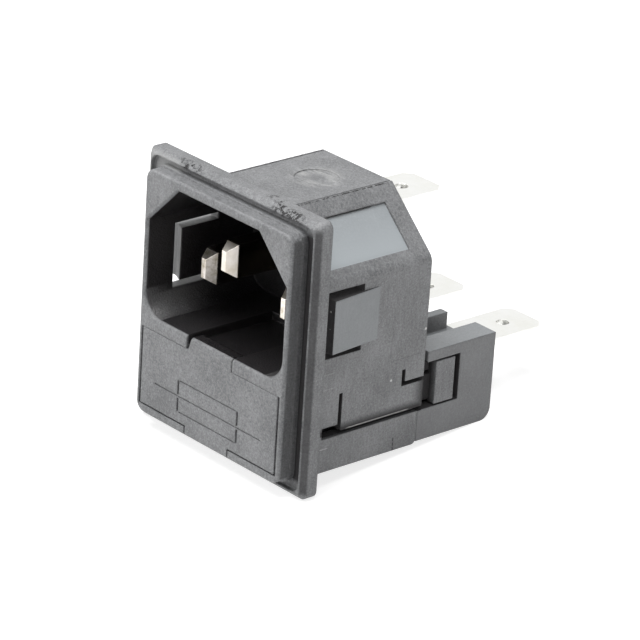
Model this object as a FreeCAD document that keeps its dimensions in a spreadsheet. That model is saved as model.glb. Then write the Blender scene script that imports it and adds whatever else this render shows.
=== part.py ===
import FreeCAD, Part

import math
import os
import re

import Sketcher

# Snap-in panel inlet for a 10 A appliance cord, with a pull-out drawer for two 5 x 20 mm fuses.
# X runs to the right seen from the front, Y to the rear and Z up, in millimetres. The origin is the
# centre of the flange's rear face, the plane that seats on the panel.

DOC = FreeCAD.newDocument("panel_inlet")

# Driving dimensions: alias, millimetres, what it is.
SIZES = [
    ("flange_side", 0.85, "flange beyond the groove, at its sides"),
    ("flange_end", 0.75, "flange beyond the groove, at its top and bottom"),
    ("flange_thick", 2.1, "flange, seat to front"),
    ("flange_bevel", 0.7, "bevel round the flange's front edge"),
    ("flange_corner", 1.0, "radius of the flange's corners"),
    ("bezel_deep", 3.94, "panel seat to the front plane"),
    ("plate_side", 0.65, "front plate beside the cavity"),
    ("plate_over", 1.17, "front plate above the cavity"),
    ("plate_under", 1.2, "front plate below the drawer"),
    ("plate_corner", 1.3, "radius of the front plate's corners"),
    ("plate_edge", 0.3, "rounding of the front plate's rim"),
    ("tier_step", 0.2, "lower tier of the plate beyond the upper"),
    ("tier_drop", 1.5, "front plane to the lower tier"),
    ("groove_side", 1.4, "groove beside the front plate, from its upper tier"),
    ("groove_end", 0.95, "groove above and below the front plate, from its upper tier"),
    ("groove_deep", 0.6, "groove below the flange's front"),
    ("cavity_wide", 24.2, "connector cavity, side to side"),
    ("cavity_high", 16.6, "connector cavity, bottom to top"),
    ("cavity_deep", 16.14, "front plane to the cavity's floor"),
    ("cavity_bevel", 5.04, "keying bevels of the cavity's top corners"),
    ("cavity_corner", 2.9, "radius of the cavity's bottom corners"),
    ("mouth_bevel", 0.25, "lead-in round the cavity's mouth"),
    ("side_wall", 1.4, "wall beside the cavity"),
    ("roof_wall", 1.31, "wall above the cavity"),
    ("back_wall", 4.6, "cavity's floor to the housing's rear"),
    ("roof_flat", 12.0, "flat part of the roof"),
    ("roof_drop", 6.79, "height of the roof's slopes"),
    ("shoulder_round", 1.5, "rounding between slope and side"),
    ("panel_margin", 2.2, "roof edge to the sunk panel, down the slope"),
    ("panel_wide", 6.2, "sunk panel, down the slope"),
    ("panel_sunk", 0.25, "depth of the sunk panel"),
    ("panel_back", 2.4, "sunk panel to the housing's rear"),
    ("gate_wide", 5.2, "diameter of the gate mark on the roof"),
    ("gate_shift", 0.5, "gate mark off the centre line"),
    ("gate_back", 6.6, "gate mark's centre to the housing's rear"),
    ("mark_deep", 0.1, "depth of the roof's marks"),
    ("line_wide", 0.15, "width of the roof's insert lines"),
    ("line_inset", 0.2, "insert line inside the roof's edge"),
    ("ledge", 1.58, "wall between cavity and drawer bay"),
    ("drawer_wide", 23.9, "drawer front, side to side"),
    ("drawer_high", 9.5, "drawer front, bottom to top"),
    ("drawer_thick", 1.9, "drawer front's thickness"),
    ("drawer_lip", 0.4, "drawer front below its tray"),
    ("side_gap", 0.3, "gap beside the drawer front"),
    ("front_gap", 0.2, "gap below the drawer front and round its lower tab"),
    ("seam_gap", 0.05, "gap above and behind the drawer front"),
    ("slide_gap", 0.15, "gap round the tray"),
    ("finger_half", 3.8, "upper tab of the drawer, half width"),
    ("finger_thick", 1.7, "upper tab's thickness"),
    ("finger_slant", 0.5, "slant of the upper tab's pry side"),
    ("pry_gap", 0.4, "pry notch beside the foot of the upper tab"),
    ("pry_deep", 1.0, "pry channel in the cavity's bottom"),
    ("pry_long", 11.2, "pry channel behind the upper tab"),
    ("toe_half", 3.75, "lower tab of the drawer, half width"),
    ("bay_wall", 1.6, "wall beside the drawer bay"),
    ("base_wall", 1.0, "wall below the drawer bay"),
    ("tray_wall", 1.05, "tray's side walls"),
    ("tray_tail", 1.3, "tray's end wall"),
    ("tray_floor", 0.5, "tray under a fuse"),
    ("rail_high", 1.15, "tray's side rails"),
    ("wall_over", 1.6, "tray's side walls above the fuses' centre line"),
    ("tail_gap", 0.4, "tray's end wall below the contacts"),
    ("push_wide", 3.0, "push-out window under a fuse, across"),
    ("push_long", 9.0, "push-out window under a fuse, along"),
    ("fuse_long", 20.0, "fuse length"),
    ("fuse_wide", 5.2, "fuse cap's diameter"),
    ("fuse_cap", 5.4, "fuse cap's length"),
    ("cap_wall", 0.3, "fuse cap's wall"),
    ("glass_wall", 0.45, "fuse glass's wall"),
    ("wire_wide", 0.25, "fuse wire's diameter"),
    ("fuse_play", 0.15, "room round a fuse in its trough"),
    ("fuse_spread", 13.2, "between the fuses' centre lines"),
    ("fuse_start", 0.8, "panel seat to the fuses' front ends"),
    ("touch_gap", 0.1, "contact above a fuse cap"),
    ("fit_gap", 0.05, "metal in its slot or hole"),
    ("pin_wide", 2.0, "pin's width"),
    ("pin_high", 4.0, "pin's height"),
    ("tip_long", 1.3, "pin's tapered tip"),
    ("tip_wide", 0.7, "flat end of a pin's tip, its width"),
    ("tip_high", 2.4, "flat end of a pin's tip, its height"),
    ("pin_spread", 14.0, "between line and neutral"),
    ("pin_offset", 2.0, "pins above or below the cavity's centre"),
    ("earth_deep", 1.3, "front plane to the earth pin's tip"),
    ("live_deep", 4.35, "front plane to the other pins' tips"),
    ("seat_wall", 2.8, "cavity's floor to the strips' seats"),
    ("rivet_wide", 1.6, "diameter of a pin's rivet shank"),
    ("rivet_head", 2.6, "diameter of its peened head"),
    ("rivet_proud", 0.5, "thickness of its peened head"),
    ("strip_wide", 4.0, "line and neutral strips' width"),
    ("strip_thick", 0.5, "line and neutral strips' thickness"),
    ("strip_over", 0.3, "strip beyond the pin, upwards"),
    ("leaf_start", 6.5, "panel seat to where the leaf leaves the strip"),
    ("leaf_front", 3.8, "panel seat to the rear of the leaf's foot"),
    ("foot_long", 0.8, "length of a leaf's foot"),
    ("leaf_tip", 1.1, "leaf's turned-up tip, forwards"),
    ("tip_rise", 0.9, "leaf's turned-up tip, upwards"),
    ("tab_wide", 6.3, "quick-connect tab's width"),
    ("tab_thick", 0.8, "quick-connect tab's thickness"),
    ("tab_bevel", 1.2, "bevel of a tab's corners"),
    ("tab_lead", 0.2, "lead-in bevel of a tab's tip, above and below"),
    ("tab_hole", 1.6, "diameter of a tab's detent hole"),
    ("hole_back", 4.2, "tab's tip to its detent hole"),
    ("earth_out", 11.4, "earth tab beyond the housing"),
    ("live_out", 12.1, "line and neutral tabs beyond the carrier"),
    ("earth_lift", 2.72, "earth tab above its pin's centre"),
    ("earth_foot", 2.1, "earth tab's foot below its pin's centre"),
    ("tab_lift", 0.2, "line and neutral tabs above the contact level"),
    ("tab_in", 2.7, "line and neutral tabs inside the carrier's room"),
    ("spring_wide", 3.0, "rear springs' width"),
    ("spring_thick", 0.3, "rear springs' thickness"),
    ("spring_lap", 2.3, "rear spring on its tab"),
    ("spring_drop", 1.5, "rear spring's slope, forwards"),
    ("joint_gap", 0.05, "between housing and contact carrier"),
    ("block_long", 11.05, "contact carrier, front to rear"),
    ("block_floor", 0.75, "carrier's wall below the tray"),
    ("tray_room", 0.7, "room behind the tray"),
    ("deck_wall", 0.6, "carrier's deck above its room"),
    ("collar_lap", 0.5, "carrier's collar above the drawer bay"),
    ("collar_thick", 0.8, "carrier's collar, front to rear"),
    ("cheek_rise", 2.1, "carrier's cheeks above its deck"),
    ("cheek_wide", 3.5, "cheek, side to side"),
    ("cheek_gap", 0.5, "cheek behind the carrier's front"),
    ("rib_side", 5.4, "barrier rib off the centre line"),
    ("rib_thick", 1.2, "barrier rib"),
    ("rib_back", 0.7, "barrier rib in front of the carrier's rear"),
    ("heel_round", 1.5, "rounding of the carrier's heel"),
    ("skirt_back", 0.6, "housing's skirt in front of its rear face"),
    ("skirt_high", 4.1, "skirt of the housing beside the drawer"),
    ("skirt_round", 0.6, "rounding of the skirt's heel"),
    ("tongue_front", 2.1, "panel seat to the snap tongue, the thickest panel"),
    ("tongue_long", 7.1, "snap tongue, tip to root"),
    ("tongue_wide", 6.35, "snap tongue, bottom to top"),
    ("tongue_lift", 3.02, "snap tongue above the cavity's bottom"),
    ("tongue_proud", 0.7, "snap tongue's tip beyond the side"),
    ("tongue_slant", 0.9, "slant of the tongue's end through the wall, front to rear"),
    ("slot_wide", 0.85, "slots beside the snap tongue"),
    ("slot_front", 1.9, "slot in front of the snap tongue"),
    ("slot_long", 4.6, "slots beside the tongue, along it"),
    ("slit_wide", 0.5, "slits that free the latch arm"),
    ("arm_lift", 0.55, "latch arm above the skirt"),
    ("arm_front", 4.15, "panel seat to the latch arm's front slit"),
    ("arm_slit", 3.8, "front slit above the notch"),
    ("notch_start", 1.6, "panel seat to the notch under the arm"),
    ("notch_rise", 0.85, "notch above the arm's lower edge"),
    ("gap_back", 0.8, "gap over the skirt to the housing's rear"),
    ("arm_back", 2.9, "rear slit to the housing's rear"),
    ("arm_drop", 2.02, "window's top to the latch arm"),
    ("arm_dip", 1.05, "latch arm inside the cheek's face"),
    ("dip_run", 0.8, "latch arm's slope into its dip, rearwards"),
    ("hook_start", 1.9, "carrier's front to the hook"),
    ("hook_long", 2.9, "hook, front to rear"),
    ("hook_slope", 1.45, "slope inside the hook, front to rear"),
    ("hook_gap", 0.25, "room round the hook"),
    ("window_long", 5.6, "carrier's latch window"),
    ("window_drop", 1.3, "cheek's top to the latch window"),
    ("rail_rise", 0.3, "rail inside the skirt, above its top edge"),
    ("rail_start", 5.9, "panel seat to that rail's front end"),
]

# Places that follow from them: alias, formula, what it is.
PLACES = [
    ("front", "-bezel_deep", "front plane, Y"),
    ("flange_front", "-flange_thick", "flange's front, Y"),
    ("groove_floor", "groove_deep - flange_thick", "groove's floor, Y"),
    ("tier_front", "front + tier_drop", "lower tier's front, Y"),
    ("cavity_half", "cavity_wide / 2", "cavity's side, X"),
    ("plate_half", "cavity_half + plate_side", "front plate's side, X"),
    ("insert_high", "cavity_high + ledge + seam_gap + drawer_high", "cavity's top to drawer's bottom"),
    ("plate_top", "(plate_over + insert_high + plate_under) / 2", "front plate's top, Z"),
    ("flange_half", "plate_half + groove_side + flange_side", "flange's side, X"),
    ("flange_top", "plate_top + groove_end + flange_end", "flange's top, Z"),
    ("cavity_top", "plate_top - plate_over", "cavity's top, Z"),
    ("cavity_base", "cavity_top - cavity_high", "cavity's bottom, Z"),
    ("cavity_middle", "(cavity_top + cavity_base) / 2", "cavity's centre, Z"),
    ("cavity_floor", "cavity_deep - bezel_deep", "cavity's floor, Y"),
    ("body_half", "cavity_half + side_wall", "housing's side, X"),
    ("body_top", "cavity_top + roof_wall", "housing's roof, Z"),
    ("body_rear", "cavity_floor + back_wall", "housing's rear, Y"),
    ("roof_half", "roof_flat / 2", "roof's edge, X"),
    ("shoulder", "body_top - roof_drop", "foot of the roof's slopes, Z"),
    ("slope_run", "body_half - roof_half", "width of a slope"),
    ("slope_long", "sqrt(slope_run ^ 2 + roof_drop ^ 2)", "length of a slope"),
    ("slope_cos", "slope_run / slope_long", "slope's direction, X"),
    ("slope_sin", "roof_drop / slope_long", "slope's direction, -Z"),
    ("panel_end", "panel_margin + panel_wide", "sunk panel's end, down the slope"),
    ("bay_top", "cavity_base - ledge", "drawer bay's top, Z"),
    ("drawer_half", "drawer_wide / 2", "drawer front's side, X"),
    ("drawer_top", "bay_top - seam_gap", "drawer front's top, Z"),
    ("drawer_base", "drawer_top - drawer_high", "drawer front's bottom, Z"),
    ("drawer_back", "front + drawer_thick", "drawer front's rear, Y"),
    ("finger_back", "front + finger_thick", "upper tab's rear, Y"),
    ("pry_edge", "finger_half + pry_gap", "pry notch's side, X"),
    ("tray_base", "drawer_base + drawer_lip", "tray's underside, Z"),
    ("bay_base", "tray_base - slide_gap", "drawer bay's bottom, Z"),
    ("body_base", "bay_base - base_wall", "housing's underside, Z"),
    ("bay_half", "body_half - bay_wall", "drawer bay's side, X"),
    ("tray_half", "bay_half - slide_gap", "tray's rails, X"),
    ("fuse_radius", "fuse_wide / 2", "fuse cap's radius"),
    ("trough", "fuse_radius + fuse_play", "trough's radius"),
    ("fuse_line", "fuse_spread / 2", "fuses' centre line, X"),
    ("fuse_level", "tray_base + tray_floor + trough", "fuses' centre line, Z"),
    ("fuse_rear", "fuse_start + fuse_long", "fuses' rear ends, Y"),
    ("trough_front", "fuse_start - fuse_play", "trough's front, Y"),
    ("trough_rear", "fuse_rear + fuse_play", "trough's rear, Y"),
    ("tray_rear", "trough_rear + tray_tail", "tray's rear end, Y"),
    ("wall_side", "fuse_line + trough + tray_wall", "tray walls' outside, X"),
    ("wall_top", "fuse_level + wall_over", "tray's side walls' top, Z"),
    ("contact_level", "fuse_level + fuse_radius + touch_gap", "underside of the contacts, Z"),
    ("live_line", "pin_spread / 2", "line and neutral pins, X"),
    ("live_level", "cavity_middle - pin_offset", "line and neutral pins, Z"),
    ("earth_level", "cavity_middle + pin_offset", "earth pin, Z"),
    ("strip_seat", "cavity_floor + seat_wall", "seats of strips and earth tab, Y"),
    ("strip_top", "live_level + pin_high / 2 + strip_over", "strips' upper ends, Z"),
    ("block_front", "body_rear + joint_gap", "carrier's front, Y"),
    ("block_rear", "block_front + block_long", "carrier's rear, Y"),
    ("block_base", "bay_base - block_floor", "carrier's underside, Z"),
    ("room_rear", "tray_rear + tray_room", "rear of the carrier's room, Y"),
    ("tab_base", "contact_level + tab_lift", "tabs' underside, Z"),
    ("tab_top", "tab_base + tab_thick", "tabs' upper side, Z"),
    ("spine_top", "tab_base - slide_gap", "wall between the fuses, its top, Z"),
    ("tail_top", "contact_level - tail_gap", "tray's end wall's top, Z"),
    ("room_top", "tab_top + spring_thick + touch_gap", "carrier's room's top, Z"),
    ("deck", "room_top + deck_wall", "carrier's deck, Z"),
    ("cheek_top", "deck + cheek_rise", "carrier's cheeks' top, Z"),
    ("cheek_in", "body_half - cheek_wide", "cheeks' inner sides, X"),
    ("tongue_base", "cavity_base + tongue_lift", "tongue's lower edge, Z"),
    ("tongue_top", "tongue_base + tongue_wide", "tongue's upper edge, Z"),
    ("skirt_top", "body_base + skirt_high", "skirt's top, Z"),
    ("skirt_rear", "body_rear - skirt_back", "skirt's rear, Y"),
    ("arm_base", "skirt_top + arm_lift", "latch arm's lower edge, Z"),
    ("window_top", "cheek_top - window_drop", "latch window's top, Z"),
    ("arm_top", "window_top - arm_drop", "latch arm's upper edge, Z"),
    ("hook_front", "block_front + hook_start", "hook's front, Y"),
    ("hook_rear", "hook_front + hook_long", "hook's rear, Y"),
    ("arm_skin", "body_half - arm_dip", "dipped face of the latch arm, X"),
    ("window_rear", "block_front + window_long", "latch window's rear, Y"),
]

SIZE_NAMES = {alias for alias, _, _ in SIZES}
PLACE_NAMES = {alias for alias, _, _ in PLACES}

# Each origin plane's normal, against the axis that it stands across.
NORMALS = {"XY_Plane": 1, "XZ_Plane": -1, "YZ_Plane": 1}
LOOP_START = 10.0
NEAR = 1e-4


def bound(text):
    """Point each alias in a formula at its sheet."""

    def cell(match):
        word = match.group(0)
        if word in SIZE_NAMES:
            return "Sizes." + word
        return "Places." + word if word in PLACE_NAMES else word

    return re.sub(r"[a-z_]+", cell, text)


def fill_sheet(name, rows, prefix):
    sheet = DOC.addObject("Spreadsheet::Sheet", name)
    for row, (alias, value, note) in enumerate(rows, 1):
        sheet.set(f"A{row}", alias)
        sheet.set(f"B{row}", prefix + bound(str(value)))
        sheet.set(f"C{row}", note)
        sheet.setAlias(f"B{row}", alias)
    return sheet


SHEETS = [fill_sheet("Sizes", SIZES, ""), fill_sheet("Places", PLACES, "=")]
DOC.recompute()


def value(name):
    """The present value of an alias of either sheet."""
    sheet = SHEETS[0] if name in SIZE_NAMES else SHEETS[1]
    return float(sheet.get(name))


def minus(text):
    return f"-({text})"


def box(left, right, low, high):
    """The corners of a rectangle."""
    return [(left, low), (right, low), (right, high), (left, high)]


def middle(half, low, high):
    """A rectangle centred on the first axis."""
    return box(minus(half), half, low, high)


def pair(left, right, low, high):
    """A rectangle and its mirror image across the first axis."""
    return [box(left, right, low, high), box(minus(right), minus(left), low, high)]


def mirrored(points):
    """An outline and its mirror image across the first axis."""
    return [points, [(minus(across), up) for across, up in points]]


def tie(sketch, kind, item, spot, start, text):
    """Hold one coordinate of a sketch point at a formula."""
    number = sketch.addConstraint(Sketcher.Constraint(kind, -1, 1, item, spot, start))
    sketch.setExpression(f"Constraints[{number}]", bound(text))


def add_polygon(sketch, points):
    count = len(points)
    first = sketch.GeometryCount
    turns = [2 * math.pi * i / count for i in range(count)]
    spots = [FreeCAD.Vector(LOOP_START * math.cos(a), LOOP_START * math.sin(a), 0) for a in turns]
    sketch.addGeometry([Part.LineSegment(spots[i], spots[(i + 1) % count]) for i in range(count)])
    for i in range(count):
        follower = first + (i + 1) % count
        sketch.addConstraint(Sketcher.Constraint("Coincident", first + i, 2, follower, 1))
    for i, (across, up) in enumerate(points):
        tie(sketch, "DistanceX", first + i, 1, spots[i].x, across)
        tie(sketch, "DistanceY", first + i, 1, spots[i].y, up)


def add_circle(sketch, across, up, radius):
    item = sketch.addGeometry(Part.Circle(FreeCAD.Vector(), FreeCAD.Vector(0, 0, 1), LOOP_START))
    number = sketch.addConstraint(Sketcher.Constraint("Radius", item, LOOP_START))
    sketch.setExpression(f"Constraints[{number}]", bound(radius))
    tie(sketch, "DistanceX", item, 3, 0.0, across)
    tie(sketch, "DistanceY", item, 3, 0.0, up)


def add_sketch(body, name, plane, level, loops):
    """A sketch across a body's own origin plane; a loop of one entry is a circle."""
    sketch = body.newObject("Sketcher::SketchObject", name + "Sketch")
    across = [item for item in body.Origin.OriginFeatures if item.Role == plane]
    sketch.AttachmentSupport = [(across[0], "")]
    sketch.MapMode = "FlatFace"
    side = level if NORMALS[plane] > 0 else minus(level)
    sketch.setExpression("AttachmentOffset.Base.z", bound(side))
    for loop in loops:
        if len(loop) == 1:
            add_circle(sketch, *loop[0])
        else:
            add_polygon(sketch, loop)
    return sketch


def extrude(body, name, kind, plane, low, high, loops):
    """Add or cut the loops from one level to a higher one, and check that the volume follows."""
    before = body.Shape.Volume if body.Tip else 0.0
    sketch = add_sketch(body, name, plane, low, loops)
    feature = body.newObject(kind, name)
    feature.Profile = sketch
    feature.setExpression("Length", bound(f"({high}) - ({low})"))
    adds = kind == "PartDesign::Pad"
    feature.Reversed = (NORMALS[plane] > 0) != adds
    DOC.recompute()
    change = body.Shape.Volume - before
    if (change > 0) != adds or abs(change) < NEAR:
        raise ValueError(f"{body.Label}: {name} changes the volume by {change:.4f}")
    return feature


def pad(body, name, plane, low, high, loops):
    return extrude(body, name, "PartDesign::Pad", plane, low, high, loops)


def pocket(body, name, plane, low, high, loops):
    return extrude(body, name, "PartDesign::Pocket", plane, low, high, loops)


def lies(edge, **wanted):
    """Whether an edge's ends both lie at the given coordinates; X counts either side."""
    for vertex in edge.Vertexes:
        point = vertex.Point
        found = {"x": abs(point.x), "y": point.y, "z": point.z}
        if any(abs(found[axis] - at) > NEAR for axis, at in wanted.items()):
            return False
    return True


def soften(body, name, kind, size, wanted):
    """Round or bevel the edges of a body that the test picks."""
    base = body.Tip
    edges = [f"Edge{i}" for i, edge in enumerate(base.Shape.Edges, 1) if wanted(edge)]
    if not edges:
        raise ValueError(f"{body.Label}: {name} finds no edge")
    feature = body.newObject(kind, name)
    feature.Base = (base, edges)
    feature.setExpression("Radius" if kind.endswith("Fillet") else "Size", bound(size))
    DOC.recompute()


def round_off(body, name, radius, wanted):
    soften(body, name, "PartDesign::Fillet", radius, wanted)


def bevel(body, name, size, wanted):
    soften(body, name, "PartDesign::Chamfer", size, wanted)


def new_body(name):
    body = DOC.addObject("PartDesign::Body", name)
    body.Label = name
    return body


def upright(edge):
    """Whether an edge runs along Y."""
    ends = [vertex.Point for vertex in edge.Vertexes]
    if len(ends) < 2:
        return False
    run = ends[1] - ends[0]
    return abs(run.x) < NEAR and abs(run.z) < NEAR


# --- housing --------------------------------------------------------------------------------------


def make_bezel(body):
    """The two-tier front plate and the flange, with a groove between them."""
    outline = [middle("plate_half", minus("plate_top"), "plate_top")]
    pad(body, "FrontPlate", "XZ_Plane", "front", "0", outline)
    round_off(body, "PlateCorners", "plate_corner", upright)
    face = value("front")
    round_off(body, "PlateEdge", "plate_edge", lambda edge: lies(edge, y=face))
    side, top = "plate_half + tier_step", "plate_top + tier_step"
    pad(body, "LowerTier", "XZ_Plane", "tier_front", "0", [middle(side, minus(top), top)])
    tier = value("plate_half") + value("tier_step")
    round_off(
        body, "TierCorners", "plate_corner + tier_step",
        lambda edge: upright(edge) and lies(edge, x=tier),
    )
    outer = middle("flange_half", minus("flange_top"), "flange_top")
    pad(body, "Flange", "XZ_Plane", "groove_floor", "0", [outer])
    side, top = "plate_half + groove_side", "plate_top + groove_end"
    inner = middle(side, minus(top), top)
    pad(body, "FlangeRim", "XZ_Plane", "flange_front", "groove_floor", [outer, inner])
    inside = value("plate_half") + value("groove_side")
    round_off(
        body, "GrooveCorners", "plate_corner",
        lambda edge: upright(edge) and lies(edge, x=inside),
    )
    outside = value("flange_half")
    round_off(
        body, "FlangeCorners", "flange_corner",
        lambda edge: upright(edge) and lies(edge, x=outside),
    )
    face = value("flange_front")
    above = value("plate_top") + value("groove_end")

    def outermost(edge):
        ends = [vertex.Point for vertex in edge.Vertexes]
        return all(abs(p.x) > inside + NEAR or abs(p.z) > above + NEAR for p in ends)

    bevel(body, "FlangeBevel", "flange_bevel", lambda edge: lies(edge, y=face) and outermost(edge))


def make_shell(body):
    """The part behind the panel, with its sloped roof and its marks."""
    roof = [("roof_half", "body_top"), (minus("roof_half"), "body_top")]
    right = [("body_half", "body_base"), ("body_half", "shoulder")]
    left = [(minus("body_half"), "shoulder"), (minus("body_half"), "body_base")]
    pad(body, "Shell", "XZ_Plane", "0", "body_rear", [right + roof + left])
    reach, foot = value("body_half"), value("shoulder")
    round_off(
        body, "Shoulders", "shoulder_round",
        lambda edge: upright(edge) and lies(edge, x=reach, z=foot),
    )

    def down_slope(along, out):
        """A point so far down a slope from the roof's edge, and so far out from the slope."""
        across = f"roof_half + slope_cos * ({along}) + slope_sin * ({out})"
        return across, f"body_top - slope_sin * ({along}) + slope_cos * ({out})"

    panel = [
        down_slope("panel_margin", "panel_sunk"),
        down_slope("panel_end", "panel_sunk"),
        down_slope("panel_end", "-panel_sunk"),
        down_slope("panel_margin", "-panel_sunk"),
    ]
    pocket(body, "SunkPanels", "XZ_Plane", "0", "body_rear - panel_back", mirrored(panel))
    edge = "roof_half - line_inset"
    lines = pair(f"{edge} - line_wide", edge, "body_top - mark_deep", "body_top")
    pocket(body, "InsertLines", "XZ_Plane", "0", "body_rear", lines)
    mark = [("gate_shift", "body_rear - gate_back", "gate_wide / 2")]
    pocket(body, "GateMark", "XY_Plane", "body_top - mark_deep", "body_top", [mark])


def make_cavity(body):
    """The keyed cavity that takes the cord's connector."""
    key_side, key_top = "cavity_half - cavity_bevel", "cavity_top - cavity_bevel"
    right = [("cavity_half", "cavity_base"), ("cavity_half", key_top), (key_side, "cavity_top")]
    left = [(minus(across), up) for across, up in reversed(right)]
    pocket(body, "Cavity", "XZ_Plane", "front", "cavity_floor", [right + left])
    reach, foot = value("cavity_half"), value("cavity_base")
    round_off(
        body, "CavityCorners", "cavity_corner",
        lambda edge: upright(edge) and lies(edge, x=reach, z=foot),
    )
    face, low, high = value("front"), value("cavity_base") - NEAR, value("cavity_top") + NEAR

    def mouth(edge):
        box_now = edge.BoundBox
        inside = box_now.XMax < reach + NEAR and box_now.XMin > -reach - NEAR
        return lies(edge, y=face) and inside and box_now.ZMin > low and box_now.ZMax < high

    bevel(body, "MouthBevel", "mouth_bevel", mouth)


def make_bay(body):
    """The drawer's bay, with seats for its front and its two tabs."""
    bay = middle("bay_half", "bay_base", "bay_top")
    pocket(body, "DrawerBay", "XZ_Plane", "front", "body_rear", [bay])
    seat = middle("drawer_half + side_gap", "drawer_base - front_gap", "bay_top")
    pocket(body, "FrontSeat", "XZ_Plane", "front", "drawer_back + seam_gap", [seat])
    toe = middle("toe_half + front_gap", "-plate_top - tier_step - front_gap", "drawer_base")
    pocket(body, "ToeSeat", "XZ_Plane", "front", "drawer_back + seam_gap", [toe])
    notch = box(minus("pry_edge"), "finger_half + slide_gap", "bay_top", "cavity_base")
    pocket(body, "FingerSeat", "XZ_Plane", "front", "finger_back + seam_gap", [notch])
    channel_end = "finger_back + pry_long"
    channel = box(minus("pry_edge"), "finger_half + slide_gap", "cavity_base - pry_deep", "cavity_base")
    pocket(body, "PryChannel", "XZ_Plane", "finger_back", channel_end, [channel])


def make_tongues(body):
    """The two snap tongues that hold the inlet in its panel, freed by slots in the side walls."""
    slot_end, slot_low, slot_high = (
        "tongue_front + slot_long", "tongue_base - slot_wide", "tongue_top + slot_wide"
    )
    tip = "tongue_front - tongue_slant"
    loop = [
        ("tongue_front - slot_front", slot_low), (slot_end, slot_low),
        (slot_end, "tongue_base"), (tip, "tongue_base"),
        (tip, "tongue_top"), (slot_end, "tongue_top"),
        (slot_end, slot_high), ("tongue_front - slot_front", slot_high),
    ]
    reach = "body_half"
    pocket(body, "TongueSlots", "YZ_Plane", minus(reach), reach, [loop])
    slant = [("cavity_half", tip), ("body_half", tip), ("body_half", "tongue_front")]
    pocket(body, "TongueEnds", "XY_Plane", "tongue_base", "tongue_top", mirrored(slant))
    wedge = [
        ("body_half", "tongue_front"),
        ("body_half + tongue_proud", "tongue_front"),
        ("body_half", "tongue_front + tongue_long"),
    ]
    pad(body, "Tongues", "XY_Plane", "tongue_base", "tongue_top", mirrored(wedge))


def make_latch_arms(body):
    """The arms that hold the contact carrier: slits free them, and each ends in a hook."""
    reach = "body_half"
    skirt = [box("skirt_rear", "body_rear", "body_base", "skirt_top")]
    pocket(body, "SkirtStep", "YZ_Plane", minus(reach), reach, skirt)
    low, rear = value("body_base"), value("skirt_rear")
    round_off(body, "SkirtHeel", "skirt_round", lambda edge: lies(edge, y=rear, z=low))
    arm_start = "arm_front + slit_wide / 2"
    gaps = [
        ("notch_start", "skirt_top"), ("body_rear - gap_back", "skirt_top"),
        ("body_rear - gap_back", "arm_base"), (arm_start, "arm_base"),
        (arm_start, "arm_base + notch_rise + arm_slit"),
        ("arm_front - slit_wide / 2", "arm_base + notch_rise + arm_slit"),
        ("arm_front - slit_wide / 2", "arm_base + notch_rise"),
        ("notch_start", "arm_base + notch_rise"),
    ]
    pocket(body, "ArmGaps", "YZ_Plane", minus(reach), reach, [gaps])
    turn = "body_rear - arm_back"
    slit = [
        (minus("slit_wide") + " + " + turn, "arm_top"), ("body_rear", "arm_top"),
        ("body_rear", "arm_top + slit_wide"), (turn, "arm_top + slit_wide"),
        (turn, "window_top"), (minus("slit_wide") + " + " + turn, "window_top"),
    ]
    pocket(body, "ArmSlits", "YZ_Plane", minus(reach), reach, [slit])
    tail = box("body_rear - gap_back", "body_rear", "skirt_top", "arm_base")
    pocket(body, "ArmTails", "YZ_Plane", minus(reach), reach, [tail])
    arm = [
        ("bay_half", "body_rear"), ("body_half", "body_rear"),
        ("arm_skin", "body_rear + dip_run"), ("arm_skin", "hook_front"),
        ("bay_half", "hook_front"),
    ]
    pad(body, "Arms", "XY_Plane", "arm_base", "arm_top", mirrored(arm))
    hook = [
        ("bay_half", "hook_front"), ("body_half", "hook_front"), ("body_half", "hook_rear"),
        ("arm_skin", "hook_rear"), ("bay_half", "hook_front + hook_slope"),
    ]
    hook_low, hook_high = "skirt_top + hook_gap", "window_top - hook_gap"
    pad(body, "Hooks", "XY_Plane", hook_low, hook_high, mirrored(hook))
    rail = pair("bay_half", "bay_half + bay_wall / 2", "skirt_top", "skirt_top + rail_rise")
    pad(body, "InnerRails", "XZ_Plane", "rail_start", "skirt_rear", rail)


def make_seats(body):
    """The holes of the pins and the seats of strips and earth tab in the rear wall."""
    half_wide, half_high = "pin_wide / 2 + fit_gap", "pin_high / 2 + fit_gap"
    holes = pair(
        f"live_line - ({half_wide})", f"live_line + {half_wide}",
        f"live_level - ({half_high})", f"live_level + {half_high}",
    )
    holes.append(middle(half_wide, f"earth_level - ({half_high})", f"earth_level + {half_high}"))
    pocket(body, "PinHoles", "XZ_Plane", "cavity_floor", "strip_seat", holes)
    half = "strip_wide / 2 + fit_gap"
    seats = pair(f"live_line - ({half})", f"live_line + {half}", "bay_top", "strip_top + fit_gap")
    seats.append(
        middle(
            "tab_wide / 2 + fit_gap", "earth_level - earth_foot - fit_gap",
            "earth_level + earth_lift + tab_thick + fit_gap",
        )
    )
    pocket(body, "StripSeats", "XZ_Plane", "strip_seat", "body_rear", seats)


def make_housing():
    body = new_body("housing")
    make_bezel(body)
    make_shell(body)
    make_cavity(body)
    make_bay(body)
    make_tongues(body)
    make_latch_arms(body)
    make_seats(body)
    return body


# --- contact carrier ------------------------------------------------------------------------------


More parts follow.
